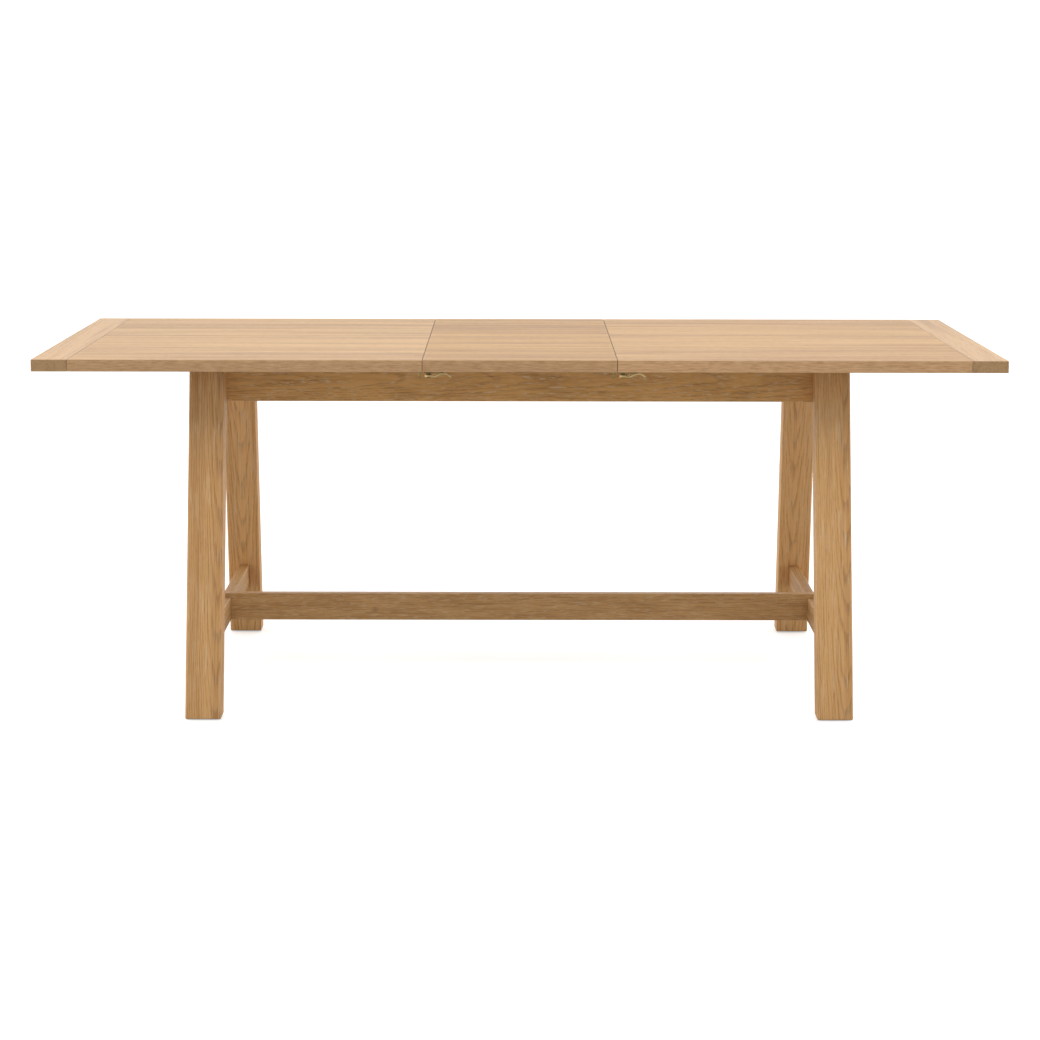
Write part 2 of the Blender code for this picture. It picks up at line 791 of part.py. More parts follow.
def make_catch_lever(name, pivot, end, body):
    """A pressed lever: a hub, a hook that sweeps round the stud, and a curled thumb arm."""
    hub = cylinder_mesh(name, HUB_RADIUS, HUB_THICKNESS)
    lever = add_piece(name, hub, pivot, body, BRASS)
    outline = arc(HOOK_OUTER_RADIUS, *HOOK_ANGLES, HOOK_STEPS)
    outline += arc(HOOK_INNER_RADIUS, *HOOK_ANGLES[::-1], HOOK_STEPS)
    hook = add_helper(f"{name}_hook", outline_mesh("hook", outline, HOOK_THICKNESS), pivot)
    spoke_length = (HOOK_INNER_RADIUS + HOOK_OUTER_RADIUS) / 2 - HUB_RADIUS / 2
    spoke_size = (spoke_length, SPOKE_WIDTH, SPOKE_THICKNESS)
    spoke = add_helper(f"{name}_spoke", box_mesh("spoke", spoke_size), pivot)
    angle = math.radians(SPOKE_ANGLE)
    middle = HUB_RADIUS / 2 + spoke_length / 2
    spoke.location.x += middle * math.cos(angle)
    spoke.location.y -= end * middle * math.sin(angle)
    spoke.rotation_euler.z = -end * angle
    strip = ribbon(smooth_path(ARM_PATH), ARM_THICKNESS)
    arm = add_helper(f"{name}_arm", outline_mesh("arm", strip, ARM_WIDTH), pivot)
    arm.rotation_euler.x = math.radians(90)
    if end > 0:
        hook.rotation_euler.x = math.radians(180)
    for part in (hook, spoke, arm):
        boolean(lever, "UNION", part)
    cut_round(lever, "pivot", pivot, HUB_HOLE_RADIUS, 4 * HUB_THICKNESS)


def make_catch(seam_name, side, end_name, end, lever_side, keeper_side):
    """One leaf catch: the lever to the right of the seam, its keeper to the left."""
    pivot = (
        side * SEAM_X + PIVOT_FROM_SEAM,
        end * (TABLE_WIDTH / 2 - CATCH_SETBACK),
        LEVER_HEIGHT,
    )
    name = f"{seam_name}_{end_name}_catch"
    lever_body = new_body(f"{name}_pivot", pivot)
    make_catch_plate(f"{name}_plate", pivot, lever_side)
    make_catch_lever(f"{name}_lever", pivot, end, lever_body)
    make_catch_keeper(f"{name}_keeper", pivot, keeper_side)


clear_scene()
TABLE = new_collection("extendable_trestle_table", True)
HELPERS = new_collection("cutters", False)

OAK_TOP = new_finish("oak_top", (0.62, 0.43, 0.25), 0.45, 0.0)
OAK = new_finish("oak_frame", (0.43, 0.26, 0.12), 0.55, 0.0)
STEEL = new_finish("zinc_plated_steel", (0.60, 0.61, 0.62), 0.35, 1.0)
BRASS = new_finish("brass", (0.62, 0.50, 0.22), 0.35, 1.0)
NYLON = new_finish("black_nylon", (0.03, 0.03, 0.03), 0.50, 0.0)

BASE = new_body("base_frame", (0, 0, 0))
LEAF = new_body("leaf_lift", (0, 0, TOP_UNDERSIDE))
HALF_TOPS = {
    name: new_body(f"{name}_top_slide", (side * SEAM_X, 0, SLIDE_CENTRE_Z))
    for name, side in SIDES.items()
}

make_stretcher()
make_leaf()
for side_name, side in SIDES.items():
    make_cross_rail(side_name, side)
    make_head_rail(side_name, side)
    make_half_top(side_name, side, HALF_TOPS[side_name])
    for end_name, end in ENDS.items():
        make_leg(side_name, side, end_name, end)
        make_foot_glide(side_name, side, end_name, end)
        make_leg_bolts(side_name, side, end_name, end)
        make_slide(side_name, side, end_name, end, HALF_TOPS[side_name])
for end_name, end in ENDS.items():
    make_apron(end_name, end)
    make_glide_strip(end_name, end)
    make_catch("left_seam", -1, end_name, end, LEAF, HALF_TOPS["left"])
    make_catch("right_seam", 1, end_name, end, HALF_TOPS["right"], LEAF)
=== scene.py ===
"""The looks of an extendable oak trestle table: finishes, small hardware, light and camera.

Metres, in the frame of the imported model: +Z up, X along the length, the front edge at -Y.
"""

import math

import bmesh
import bpy
from mathutils import Matrix, Vector


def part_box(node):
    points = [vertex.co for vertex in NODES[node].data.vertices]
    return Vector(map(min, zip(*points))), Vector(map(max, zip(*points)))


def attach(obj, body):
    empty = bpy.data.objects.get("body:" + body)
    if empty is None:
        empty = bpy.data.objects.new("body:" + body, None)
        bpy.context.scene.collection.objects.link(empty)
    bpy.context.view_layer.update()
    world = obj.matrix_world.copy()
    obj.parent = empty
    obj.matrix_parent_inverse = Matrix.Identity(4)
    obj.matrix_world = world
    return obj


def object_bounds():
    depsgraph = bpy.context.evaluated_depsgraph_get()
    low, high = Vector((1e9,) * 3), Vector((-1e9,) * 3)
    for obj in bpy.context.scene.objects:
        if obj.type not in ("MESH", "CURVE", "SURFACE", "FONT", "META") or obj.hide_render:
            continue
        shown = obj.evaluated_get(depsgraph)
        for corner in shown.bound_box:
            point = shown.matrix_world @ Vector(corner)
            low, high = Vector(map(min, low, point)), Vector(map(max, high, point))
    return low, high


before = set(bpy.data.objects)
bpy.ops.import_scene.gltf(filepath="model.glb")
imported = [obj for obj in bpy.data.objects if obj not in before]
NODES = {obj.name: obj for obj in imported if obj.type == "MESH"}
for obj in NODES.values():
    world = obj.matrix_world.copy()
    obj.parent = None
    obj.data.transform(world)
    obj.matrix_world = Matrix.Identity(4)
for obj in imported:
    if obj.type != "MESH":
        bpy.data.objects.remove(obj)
CAD_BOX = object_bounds()

SIDES = {"left": -1, "right": 1}
ENDS = {"front": -1, "rear": 1}

# The camera: a long lens, a little above the table top, its view shifted down to the table
CAMERA_PLACE = (-0.0073, -5.756, 1.3351)
CAMERA_PITCH = 0.1021
CAMERA_YAW = 0.0014
CAMERA_ROLL = 0.0019
CAMERA_LENS = 90.44
CAMERA_SENSOR = 36.0
CAMERA_SHIFT = -0.173

# The oak: the tints are linear colours, and the sizes are metres
TOP_BOARD_WIDTH = 0.1055
TOP_BOARD_SHIFT = 0.0392
WHOLE_BOARD = 1.0
BREADBOARD_SEEDS = (46.2, 57.5)
FRAME_SEED = 60.4
RING_SPACING = 0.0030
LEG_SPLAY = 0.188
LEG_PITHS = {
    "front_left": (0.024, 0.016),
    "front_right": (0.026, 0.018),
    "rear_left": (0.000, 0.014),
    "rear_right": (-0.006, 0.016),
}
KNOT_PLACE = (-0.322, -0.011, 0.141)
KNOT_SIZE = (0.012, 0.012, 0.009)
OAK_PALE = (0.57, 0.322, 0.118)
OAK_DEEP = (0.36, 0.172, 0.048)
# Painted light: the rear legs are given lighter tints than the front legs, standing in for the light
# that falls on them
LEG_TINTS_WITH_PAINTED_LIGHT = {
    "front": ((0.65, 0.358, 0.130), (0.41, 0.195, 0.056)),
    "rear": ((0.78, 0.440, 0.165), (0.51, 0.250, 0.075)),
}
OAK_PORE = (0.20, 0.105, 0.045)
OAK_LIME = (0.78, 0.62, 0.42)
OAK_JOINT = (0.27, 0.13, 0.045)
EDGE_PALE = (0.59, 0.365, 0.200)
EDGE_DEEP = (0.37, 0.205, 0.095)
BREADBOARD_PALE = (0.57, 0.345, 0.155)
BREADBOARD_DEEP = (0.36, 0.190, 0.072)
TOP_PANELS = {  # seed, pale, deep, and how bright the sawn edge is
    "left_top_panel": (12.3, (0.585, 0.345, 0.131), (0.355, 0.180, 0.058), 1.02),
    "leaf_panel": (23.6, (0.520, 0.282, 0.074), (0.315, 0.145, 0.032), 1.0),
    "right_top_panel": (34.9, (0.575, 0.325, 0.108), (0.350, 0.170, 0.046), 1.16),
}
APRON_PALE = (0.70, 0.375, 0.110)
APRON_DEEP = (0.43, 0.205, 0.045)
END_GRAIN_SHADE = 0.74

# The oak's figure: a noise is (cycles a metre along the grain, cycles across it, octaves)
RIPPLE_NOISE = (3.5, 18.0, 3.0)
BROAD_NOISE = (1.1, 32.0, 2.0)
STREAK_NOISE = (2.2, 210.0, 2.0)
FIBRE_NOISE = (8.0, 560.0, 3.0)
PORE_NOISE = (60.0, 1500.0, 1.0)
FLECK_NOISE = (9.0, 480.0, 2.0)
NOISE_ROUGHNESS = 0.6
BOARD_SEED_STEP = 1.37
BOARD_START_STEP = 7.31
PITH_WANDER = 0.03
PITH_WANDER_RATE = 1.6
LEAST_PITH_DEPTH = 0.75
PITH_DEPTH_RANGE = 0.5
RING_RIPPLE = 0.008
RING_JITTER = 2.0
RING_JITTER_RATE = 70.0
RING_JITTER_SLICE = 3.0
EARLY_WOOD_FADES = (0.02, 0.50)
EARLY_WOOD_STARTS = (0.86, 1.0)
PORE_EDGE = (0.52, 0.66)
FLECK_EDGE = (0.50, 0.68)
LATE_WOOD_PORES = 0.35
LATE_WOOD_FLECKS = 0.30
TONE_MIDDLE = 0.42
EARLY_WOOD_MIDDLE = 0.35
FIBRE_SHARE = 0.7
BOARD_TONES = 0.34
PORE_STRENGTH = 0.50
LIME_STRENGTH = 0.62
FIBRE_RISE = 0.35
EARLY_WOOD_DIP = -0.30
PORE_DIP = -0.80
GLUE_LINE_DIP = -0.60

PLAIN_OAK = {
    "board": WHOLE_BOARD,  # the width of the boards that are glued side by side
    "shift": 0.0,  # how far the boards stand aside of the piece's middle
    "pith": (0.045, 0.030),  # how far the rings' centre is aside of the middle and below it
    "spread": 0.0,  # how far the centre moves from board to board
    "taper": 0.030,  # how fast the rings leave the grain's direction
    "rings": 0.22,
    "streaks": 1.5,
    "shortness": 1.0,  # how many times shorter the streaks are
    "lime": 0.60,
    "pale": OAK_PALE,
    "deep": OAK_DEEP,
    "roughness": 0.46,
    "edge_cover": 0.0,  # how fully the sawn edges hide the grain
    "edge_light": 1.0,
    "dark_ends": (),  # the axis and place of each dark joint line
    "knot": False,
}

# Glue lines: edges are metres from the joint, and patches are noise levels from weak to strong
GLUE_LINE_EDGE = (0.0002, 0.0016)
GLUE_BAND_EDGE = (0.0, 0.008)
GLUE_LINE_PATCHES = (0.36, 0.62, 0.12, 0.85)
GLUE_BAND_PATCHES = (0.40, 0.60)
GLUE_LINE_STRENGTH = 0.6
GLUE_BAND_STRENGTH = 0.42
GLUE_PATCH_RATE = 2.2
GLUE_BOARD_STEP = 5.0

# Surfaces of an oak piece: a turn is the cosine between its normal and a direction
END_GRAIN_TURN = (0.75, 0.97)
SAWN_EDGE_TURN = (0.80, 0.97)
MOTTLE_RATES = (38.0, 60.0, 420.0)
MOTTLE_DETAIL = (4.0, 0.7)
MOTTLE_EDGE = (0.32, 0.68)
JOINT_LINE = (0.0005, 0.0013, 0.50, 0.0)
KNOT_FADE = (0.2, 1.0, 0.45, 0.0)
ARRIS_RADIUS = 0.0016
ARRIS_SAMPLES = 4
ARRIS_TURN = (0.995, 0.93)
ARRIS_RUB = 0.30
PORE_ROUGHNESS = 0.25
END_GRAIN_ROUGHNESS = 0.15
OAK_BUMP = (0.35, 0.0004)

# Metal and nylon: rates are cycles a metre, and a bump is (strength, distance)
BRASS_CLOUD_RATE = 90.0
ZINC_CLOUD_RATE = 25.0
CLOUD_DETAIL = (4.0, 0.6)
CLOUD_EDGE = (0.35, 0.70)
CLOUD_ROUGHNESS = 0.18
SCRATCH_RATES = (400.0, 2600.0, 2600.0)
SCRATCH_ROUGHNESS = 0.10
METAL_BUMP = (0.15, 0.0002)
NYLON_DARK = (0.022, 0.022, 0.024)
NYLON_LIGHT = (0.045, 0.045, 0.047)
NYLON_ROUGHNESS = 0.45
GRIT_RATE = 900.0
GRIT_DETAIL = (3.0, 0.6)
GRIT_ROUGHNESS = 0.2
GRIT_BUMP = (0.2, 0.0001)

# The screws: heads and washers are (radius, height) in metres, and profiles are shares of them
PAN_HEAD = (0.0042, 0.0025)
SLIDE_HEAD = (0.0040, 0.0018)
PLATE_HEAD = (0.0031, 0.0007)
WASHER = (0.0075, 0.0010)
WASHER_PROFILE = ((1.0, 0.0), (1.0, 0.7), (0.96, 1.0))
HEAD_PROFILE = ((1.0, 0.0), (1.0, 0.35), (0.93, 0.70), (0.78, 0.92), (0.60, 1.0))
CROSS_PROFILE = ((1.0, 1.0), (0.86, 0.25))
CROSS_ARM = 0.50
CROSS_HALF_WIDTH = 0.13
ROUND_STEP = math.pi / 7
SCREW_TURN = 0.7
SCREW_INSET = 0.030
BATTEN_SCREWS = 4
RUNNER_SCREWS = 4
SLIDE_SCREWS = 5
SLIDE_WALL = 0.0015
PLATE_THICKNESS = 0.0025
PLATE_SCREW_SPREAD = 0.29
PLATE_SCREW_ASIDE = 0.010
SHARP_ANGLE = math.radians(35)

# The studio: glows are radiances, and a light is (name, place, target, size, watts)
BACKDROP_GLOW = 1.3
ROOM_GLOW = 0.62
ROOM_TURN = (-0.5, 0.5)
FLOOR_REACH = 30.0
FLOOR_DROP = 0.0005
FLOOR_SEEN = (0.78, 0.78, 0.78)
FLOOR_BOUNCE = (0.46, 0.46, 0.46)
FLOOR_GLOW = 0.50
FLOOR_ROUGHNESS = 0.9
LIGHTS = (
    ("key", (0.0, -2.1, 3.8), (0, 0, 0.4), (5.0, 2.0), 75),
    ("left_side", (-3.6, 0.4, 0.6), (0, 0, 0.4), (3.0, 1.0), 62),
    ("right_side", (3.6, 0.4, 0.6), (0, 0, 0.4), (3.0, 1.0), 62),
)

ALONG_X = Vector((1, 0, 0))
ALONG_Y = Vector((0, 1, 0))
ALONG_Z = Vector((0, 0, 1))


class Shading:
    """A node tree, with short calls for the nodes that the finishes are built from."""

    def __init__(self, tree):
        self.tree = tree

    def feed(self, socket, value):
        if isinstance(value, bpy.types.NodeSocket):
            self.tree.links.new(value, socket)
        else:
            socket.default_value = value

    def node(self, kind, inputs=None, **settings):
        node = self.tree.nodes.new(kind)
        for name, value in settings.items():
            setattr(node, name, value)
        for name, value in (inputs or {}).items():
            self.feed(node.inputs[name], value)
        return node

    def calculate(self, operation, *values):
        node = self.node("ShaderNodeMath", operation=operation)
        for socket, value in zip(node.inputs, values):
            self.feed(socket, value)
        return node.outputs[0]

    def add(self, *values):
        total = values[0]
        for value in values[1:]:
            total = self.calculate("ADD", total, value)
        return total

    def minus(self, first, second):
        return self.calculate("SUBTRACT", first, second)

    def times(self, *values):
        product = values[0]
        for value in values[1:]:
            product = self.calculate("MULTIPLY", product, value)
        return product

    def absolute(self, value):
        return self.calculate("ABSOLUTE", value)

    def vector(self, operation, *values, output="Vector"):
        node = self.node("ShaderNodeVectorMath", operation=operation)
        for socket, value in zip(node.inputs, values):
            self.feed(socket, value)
        return node.outputs[output]

    def scaled(self, vector, scale):
        node = self.node("ShaderNodeVectorMath", operation="SCALE")
        self.feed(node.inputs[0], vector)
        self.feed(node.inputs["Scale"], scale)
        return node.outputs[0]

    def dot(self, vector, axis):
        return self.vector("DOT_PRODUCT", vector, axis, output="Value")

    def combine(self, x, y, z):
        return self.node("ShaderNodeCombineXYZ", {"X": x, "Y": y, "Z": z}).outputs[0]

    def noise(self, place, detail, roughness=0.5):
        inputs = {"Vector": place, "Scale": 1.0, "Detail": detail, "Roughness": roughness}
        return self.node("ShaderNodeTexNoise", inputs).outputs["Fac"]

    def drawn_out_noise(self, along, across, through, slow, fast, detail):
        """Noise that changes slowly along the grain and fast across it, in cycles a metre."""
        place = self.combine(
            self.times(along, slow), self.times(across, fast), self.times(through, fast)
        )
        return self.noise(place, detail, NOISE_ROUGHNESS)

    def step(self, value, start, end, low=0.0, high=1.0):
        """Goes smoothly from low to high while value runs from start to end."""
        inputs = {
            "Value": value,
            "From Min": start,
            "From Max": end,
            "To Min": low,
            "To Max": high,
        }
        return self.node(
            "ShaderNodeMapRange", inputs, interpolation_type="SMOOTHSTEP"
        ).outputs[0]

    def fall(self, value, start, end):
        """Goes smoothly from 1 to 0 while value runs from start to end."""
        return self.step(value, start, end, 1.0, 0.0)

    def mix(self, factor, first, second, mode="MIX"):
        node = self.node("ShaderNodeMix", data_type="RGBA", blend_type=mode)
        self.feed(node.inputs[0], factor)
        for socket, value in zip((node.inputs[6], node.inputs[7]), (first, second)):
            if isinstance(value, tuple) and len(value) == 3:
                value = (*value, 1.0)
            self.feed(socket, value)
        return node.outputs[2]

    def bump(self, height, strength, distance):
        inputs = {"Height": height, "Strength": strength, "Distance": distance}
        return self.node("ShaderNodeBump", inputs).outputs[0]


def new_material(name):
    """A material, its tree to build in, and its shader."""
    material = bpy.data.materials.new(name)
    material.use_nodes = True
    tree = material.node_tree
    return material, Shading(tree), tree.nodes["Principled BSDF"]


def grain_sockets(tree):
    for name, kind, way in (
        ("Position", "NodeSocketVector", "INPUT"),
        ("Seed", "NodeSocketFloat", "INPUT"),
        ("Board Width", "NodeSocketFloat", "INPUT"),
        ("Board Shift", "NodeSocketFloat", "INPUT"),
        ("Pith Aside", "NodeSocketFloat", "INPUT"),
        ("Pith Depth", "NodeSocketFloat", "INPUT"),
        ("Pith Spread", "NodeSocketFloat", "INPUT"),
        ("Taper", "NodeSocketFloat", "INPUT"),
        ("Rings", "NodeSocketFloat", "INPUT"),
        ("Streaks", "NodeSocketFloat", "INPUT"),
        ("Shortness", "NodeSocketFloat", "INPUT"),
        ("Lime", "NodeSocketFloat", "INPUT"),
        ("Pale", "NodeSocketColor", "INPUT"),
        ("Deep", "NodeSocketColor", "INPUT"),
        ("Colour", "NodeSocketColor", "OUTPUT"),
        ("Height", "NodeSocketFloat", "OUTPUT"),
        ("Pores", "NodeSocketFloat", "OUTPUT"),
    ):
        tree.interface.new_socket(name, in_out=way, socket_type=kind)


def early_wood(s, given, place, key, chances):
    """The porous early part of each growth ring, around a pith that lies below the face.

    place is (start, along, across, through): start is along with each board's own offset.
    """
    start, along, across, through = place
    wander = s.noise(s.combine(s.times(start, PITH_WANDER_RATE), key, 0.0), 1.0)
    aside = s.add(
        s.minus(across, given["Pith Aside"]),
        s.times(given["Pith Spread"], s.minus(chances[0], 0.5)),
        s.times(s.minus(wander, 0.5), PITH_WANDER),
    )
    depth_share = s.add(LEAST_PITH_DEPTH, s.times(chances[1], PITH_DEPTH_RANGE))
    below = s.add(
        through,
        s.times(given["Pith Depth"], depth_share),
        s.times(along, given["Taper"]),
    )
    reach = s.calculate(
        "SQRT", s.add(s.calculate("POWER", aside, 2.0), s.calculate("POWER", below, 2.0))
    )
    ripple = s.drawn_out_noise(start, across, through, *RIPPLE_NOISE)
    reach = s.add(reach, s.times(s.minus(ripple, 0.5), RING_RIPPLE))
    uneven = s.noise(s.combine(s.times(reach, RING_JITTER_RATE), key, RING_JITTER_SLICE), 1.0)
    count = s.add(s.calculate("DIVIDE", reach, RING_SPACING), s.times(uneven, RING_JITTER))
    ring = s.calculate("FRACT", count)
    return s.calculate(
        "MAXIMUM", s.fall(ring, *EARLY_WOOD_FADES), s.step(ring, *EARLY_WOOD_STARTS)
    )


def glue_lines(s, given, colour, along, across, board):
    """The joint between two boards, stronger in some places: the darkened colour and the line."""
    edge = s.minus(s.times(given["Board Width"], 0.5), s.absolute(across))
    patchy = s.noise(
        s.combine(s.times(along, GLUE_PATCH_RATE), s.times(board, GLUE_BOARD_STEP), given["Seed"]),
        1.0,
    )
    line = s.times(s.fall(edge, *GLUE_LINE_EDGE), s.step(patchy, *GLUE_LINE_PATCHES))
    band = s.times(s.fall(edge, *GLUE_BAND_EDGE), s.step(patchy, *GLUE_BAND_PATCHES))
    colour = s.mix(s.times(band, GLUE_BAND_STRENGTH), colour, OAK_PORE)
    return s.mix(s.times(line, GLUE_LINE_STRENGTH), colour, OAK_PORE), line


def grain_group():
    """Solid oak around its grain: rings, fibres, pores, lime, and the joints between boards.

    Position is (along the grain, across the board's face, through it), from the piece's middle.
    """
    tree = bpy.data.node_groups.new("oak_grain", "ShaderNodeTree")
    grain_sockets(tree)
    s = Shading(tree)
    given = s.node("NodeGroupInput").outputs
    place = s.node("ShaderNodeSeparateXYZ", {"Vector": given["Position"]}).outputs
    along, through = place["X"], place["Z"]

    # Which board, and where on it
    shifted = s.minus(place["Y"], given["Board Shift"])
    boards = s.calculate("DIVIDE", shifted, given["Board Width"])
    board = s.calculate("FLOOR", s.add(boards, 0.5))
    across = s.minus(shifted, s.times(board, given["Board Width"]))
    key = s.add(s.times(board, BOARD_SEED_STEP), given["Seed"])
    chance = s.node("ShaderNodeTexWhiteNoise", {"W": key}, noise_dimensions="1D")
    chances = s.node("ShaderNodeSeparateColor", {"Color": chance.outputs["Color"]}).outputs
    start = s.add(along, s.times(key, BOARD_START_STEP))
    early = early_wood(s, given, (start, along, across, through), key, chances)

    # Streaks, fibres, pores and limed flecks, all drawn out along the grain
    run = s.times(start, given["Shortness"])
    broad = s.drawn_out_noise(run, across, through, *BROAD_NOISE)
    streak = s.drawn_out_noise(run, across, through, *STREAK_NOISE)
    fibre = s.drawn_out_noise(run, across, through, *FIBRE_NOISE)
    pore_noise = s.drawn_out_noise(start, across, through, *PORE_NOISE)
    pores = s.times(
        s.step(pore_noise, *PORE_EDGE),
        s.add(LATE_WOOD_PORES, s.times(early, 1 - LATE_WOOD_PORES)),
    )
    fleck_noise = s.drawn_out_noise(run, across, through, *FLECK_NOISE)
    flecks = s.times(
        s.step(fleck_noise, *FLECK_EDGE),
        s.add(LATE_WOOD_FLECKS, s.times(early, 1 - LATE_WOOD_FLECKS)),
        given["Lime"],
    )

    # Colour: pale to deep, with the pores dark and the flecks whitish
    tone = s.add(
        TONE_MIDDLE,
        s.times(s.minus(broad, 0.5), given["Streaks"]),
        s.times(s.minus(streak, 0.5), given["Streaks"]),
        s.times(s.minus(fibre, 0.5), given["Streaks"], FIBRE_SHARE),
        s.times(s.minus(early, EARLY_WOOD_MIDDLE), given["Rings"]),
        s.times(s.minus(chances[2], 0.5), BOARD_TONES),
    )
    colour = s.mix(s.step(tone, 0.0, 1.0), given["Pale"], given["Deep"])
    colour = s.mix(s.times(pores, PORE_STRENGTH), colour, OAK_PORE)
    colour = s.mix(s.times(flecks, LIME_STRENGTH), colour, OAK_LIME)
    colour, line = glue_lines(s, given, colour, along, across, board)

    height = s.add(
        s.times(fibre, FIBRE_RISE),
        s.times(early, EARLY_WOOD_DIP),
        s.times(pores, PORE_DIP),
        s.times(line, GLUE_LINE_DIP),
    )
    result = s.node("NodeGroupOutput")
    s.feed(result.inputs["Colour"], colour)
    s.feed(result.inputs["Height"], height)
    s.feed(result.inputs["Pores"], pores)
    return tree


def sawn_edges(s, colour, place, normal, axes, cover, light):
    """A sawn edge is greyer than the face and mottled along the grain."""
    sawn = s.step(s.absolute(s.dot(normal, axes[1])), *SAWN_EDGE_TURN)
    rates = zip(axes, MOTTLE_RATES)
    spot = s.combine(*[s.times(s.dot(place, axis), rate) for axis, rate in rates])
    mottle = s.noise(spot, *MOTTLE_DETAIL)
    deep, pale = (tuple(part * light for part in tint) for tint in (EDGE_DEEP, EDGE_PALE))
    return s.mix(s.times(sawn, cover), colour, s.mix(s.step(mottle, *MOTTLE_EDGE), deep, pale))


def joint_lines(s, colour, spot, lines):
    """A dark line at each joint, given as an axis and a place along it."""
    for axis, end in lines:
        gap = s.absolute(s.minus(s.dot(spot, axis), end))
        colour = s.mix(s.step(gap, *JOINT_LINE), colour, OAK_JOINT)
    return colour


def pin_knot(s, colour, spot):
    offset = s.vector("SUBTRACT", spot, KNOT_PLACE)
    away = s.vector("LENGTH", s.vector("DIVIDE", offset, KNOT_SIZE), output="Value")
    return s.mix(s.step(away, *KNOT_FADE), colour, OAK_PORE)


def rubbed_arrises(s, colour):
    """The arrises are rubbed pale, where the rounded normal turns away from the flat one."""
    rounded = s.node("ShaderNodeBevel", {"Radius": ARRIS_RADIUS}, samples=ARRIS_SAMPLES)
    flat = s.node("ShaderNodeNewGeometry").outputs["Normal"]
    arris = s.step(s.dot(rounded.outputs[0], flat), *ARRIS_TURN)
    return s.mix(s.times(arris, ARRIS_RUB), colour, OAK_LIME)


def oak_finish(name, node, grain, face, seed, **choices):
    """Brushed, limed oak under a satin lacquer, on a piece whose grain runs along grain.

    face is the direction that the board's broad side looks in, and choices replace PLAIN_OAK's.
    """
    look = {**PLAIN_OAK, **choices}
    grain = grain.normalized()
    side = face.cross(grain).normalized()
    face = grain.cross(side)
    low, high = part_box(node)

    material, s, shader = new_material(name)
    spots = s.node("ShaderNodeTexCoord").outputs
    spot, normal = spots["Object"], spots["Normal"]
    place = s.vector("SUBTRACT", spot, (low + high) / 2)
    wood = s.node("ShaderNodeGroup", node_tree=GRAIN)
    for socket, value in (
        ("Position", s.combine(s.dot(place, grain), s.dot(place, side), s.dot(place, face))),
        ("Seed", seed),
        ("Board Width", look["board"]),
        ("Board Shift", look["shift"]),
        ("Pith Aside", look["pith"][0]),
        ("Pith Depth", look["pith"][1]),
        ("Pith Spread", look["spread"]),
        ("Taper", look["taper"]),
        ("Rings", look["rings"]),
        ("Streaks", look["streaks"]),
        ("Shortness", look["shortness"]),
        ("Lime", look["lime"]),
        ("Pale", (*look["pale"], 1.0)),
        ("Deep", (*look["deep"], 1.0)),
    ):
        s.feed(wood.inputs[socket], value)

    # End grain soaks up more finish than the faces
    end_grain = s.step(s.absolute(s.dot(normal, grain)), *END_GRAIN_TURN)
    colour = s.mix(end_grain, wood.outputs["Colour"], (END_GRAIN_SHADE,) * 3, "MULTIPLY")
    if look["edge_cover"]:
        axes = (grain, side, face)
        colour = sawn_edges(s, colour, place, normal, axes, look["edge_cover"], look["edge_light"])
    colour = joint_lines(s, colour, spot, look["dark_ends"])
    if look["knot"]:
        colour = pin_knot(s, colour, spot)
    colour = rubbed_arrises(s, colour)

    roughness = s.add(
        look["roughness"],
        s.times(wood.outputs["Pores"], PORE_ROUGHNESS),
        s.times(end_grain, END_GRAIN_ROUGHNESS),
    )
    s.feed(shader.inputs["Base Color"], colour)
    s.feed(shader.inputs["Roughness"], roughness)
    s.feed(shader.inputs["Normal"], s.bump(wood.outputs["Height"], *OAK_BUMP))
    return material


def paint(node, material):
    for slot in NODES[node].material_slots:
        slot.material = material


def metal_finish(name, colour, dark, roughness, cloud_rate):
    """Pressed or plated metal: cloudy, and finely scratched."""
    material, s, shader = new_material(name)
    spot = s.node("ShaderNodeTexCoord").outputs["Object"]
    cloud = s.noise(s.scaled(spot, cloud_rate), *CLOUD_DETAIL)
    drawn = s.node("ShaderNodeMapping", {"Vector": spot, "Scale": SCRATCH_RATES}).outputs[0]
    scratch = s.noise(drawn, 2.0)
    roughness = s.add(
        roughness, s.times(cloud, CLOUD_ROUGHNESS), s.times(scratch, SCRATCH_ROUGHNESS)
    )
    shader.inputs["Metallic"].default_value = 1.0
    s.feed(shader.inputs["Base Color"], s.mix(s.step(cloud, *CLOUD_EDGE), colour, dark))
    s.feed(shader.inputs["Roughness"], roughness)
    s.feed(shader.inputs["Normal"], s.bump(scratch, *METAL_BUMP))
    return material


def nylon_finish(name):
    """Moulded black nylon with a fine matt texture."""
    material, s, shader = new_material(name)
    spot = s.node("ShaderNodeTexCoord").outputs["Object"]
    grit = s.noise(s.scaled(spot, GRIT_RATE), *GRIT_DETAIL)
    roughness = s.add(NYLON_ROUGHNESS, s.times(grit, GRIT_ROUGHNESS))
    s.feed(shader.inputs["Base Color"], s.mix(grit, NYLON_DARK, NYLON_LIGHT))
    s.feed(shader.inputs["Roughness"], roughness)
    s.feed(shader.inputs["Normal"], s.bump(grit, *GRIT_BUMP))
    return material


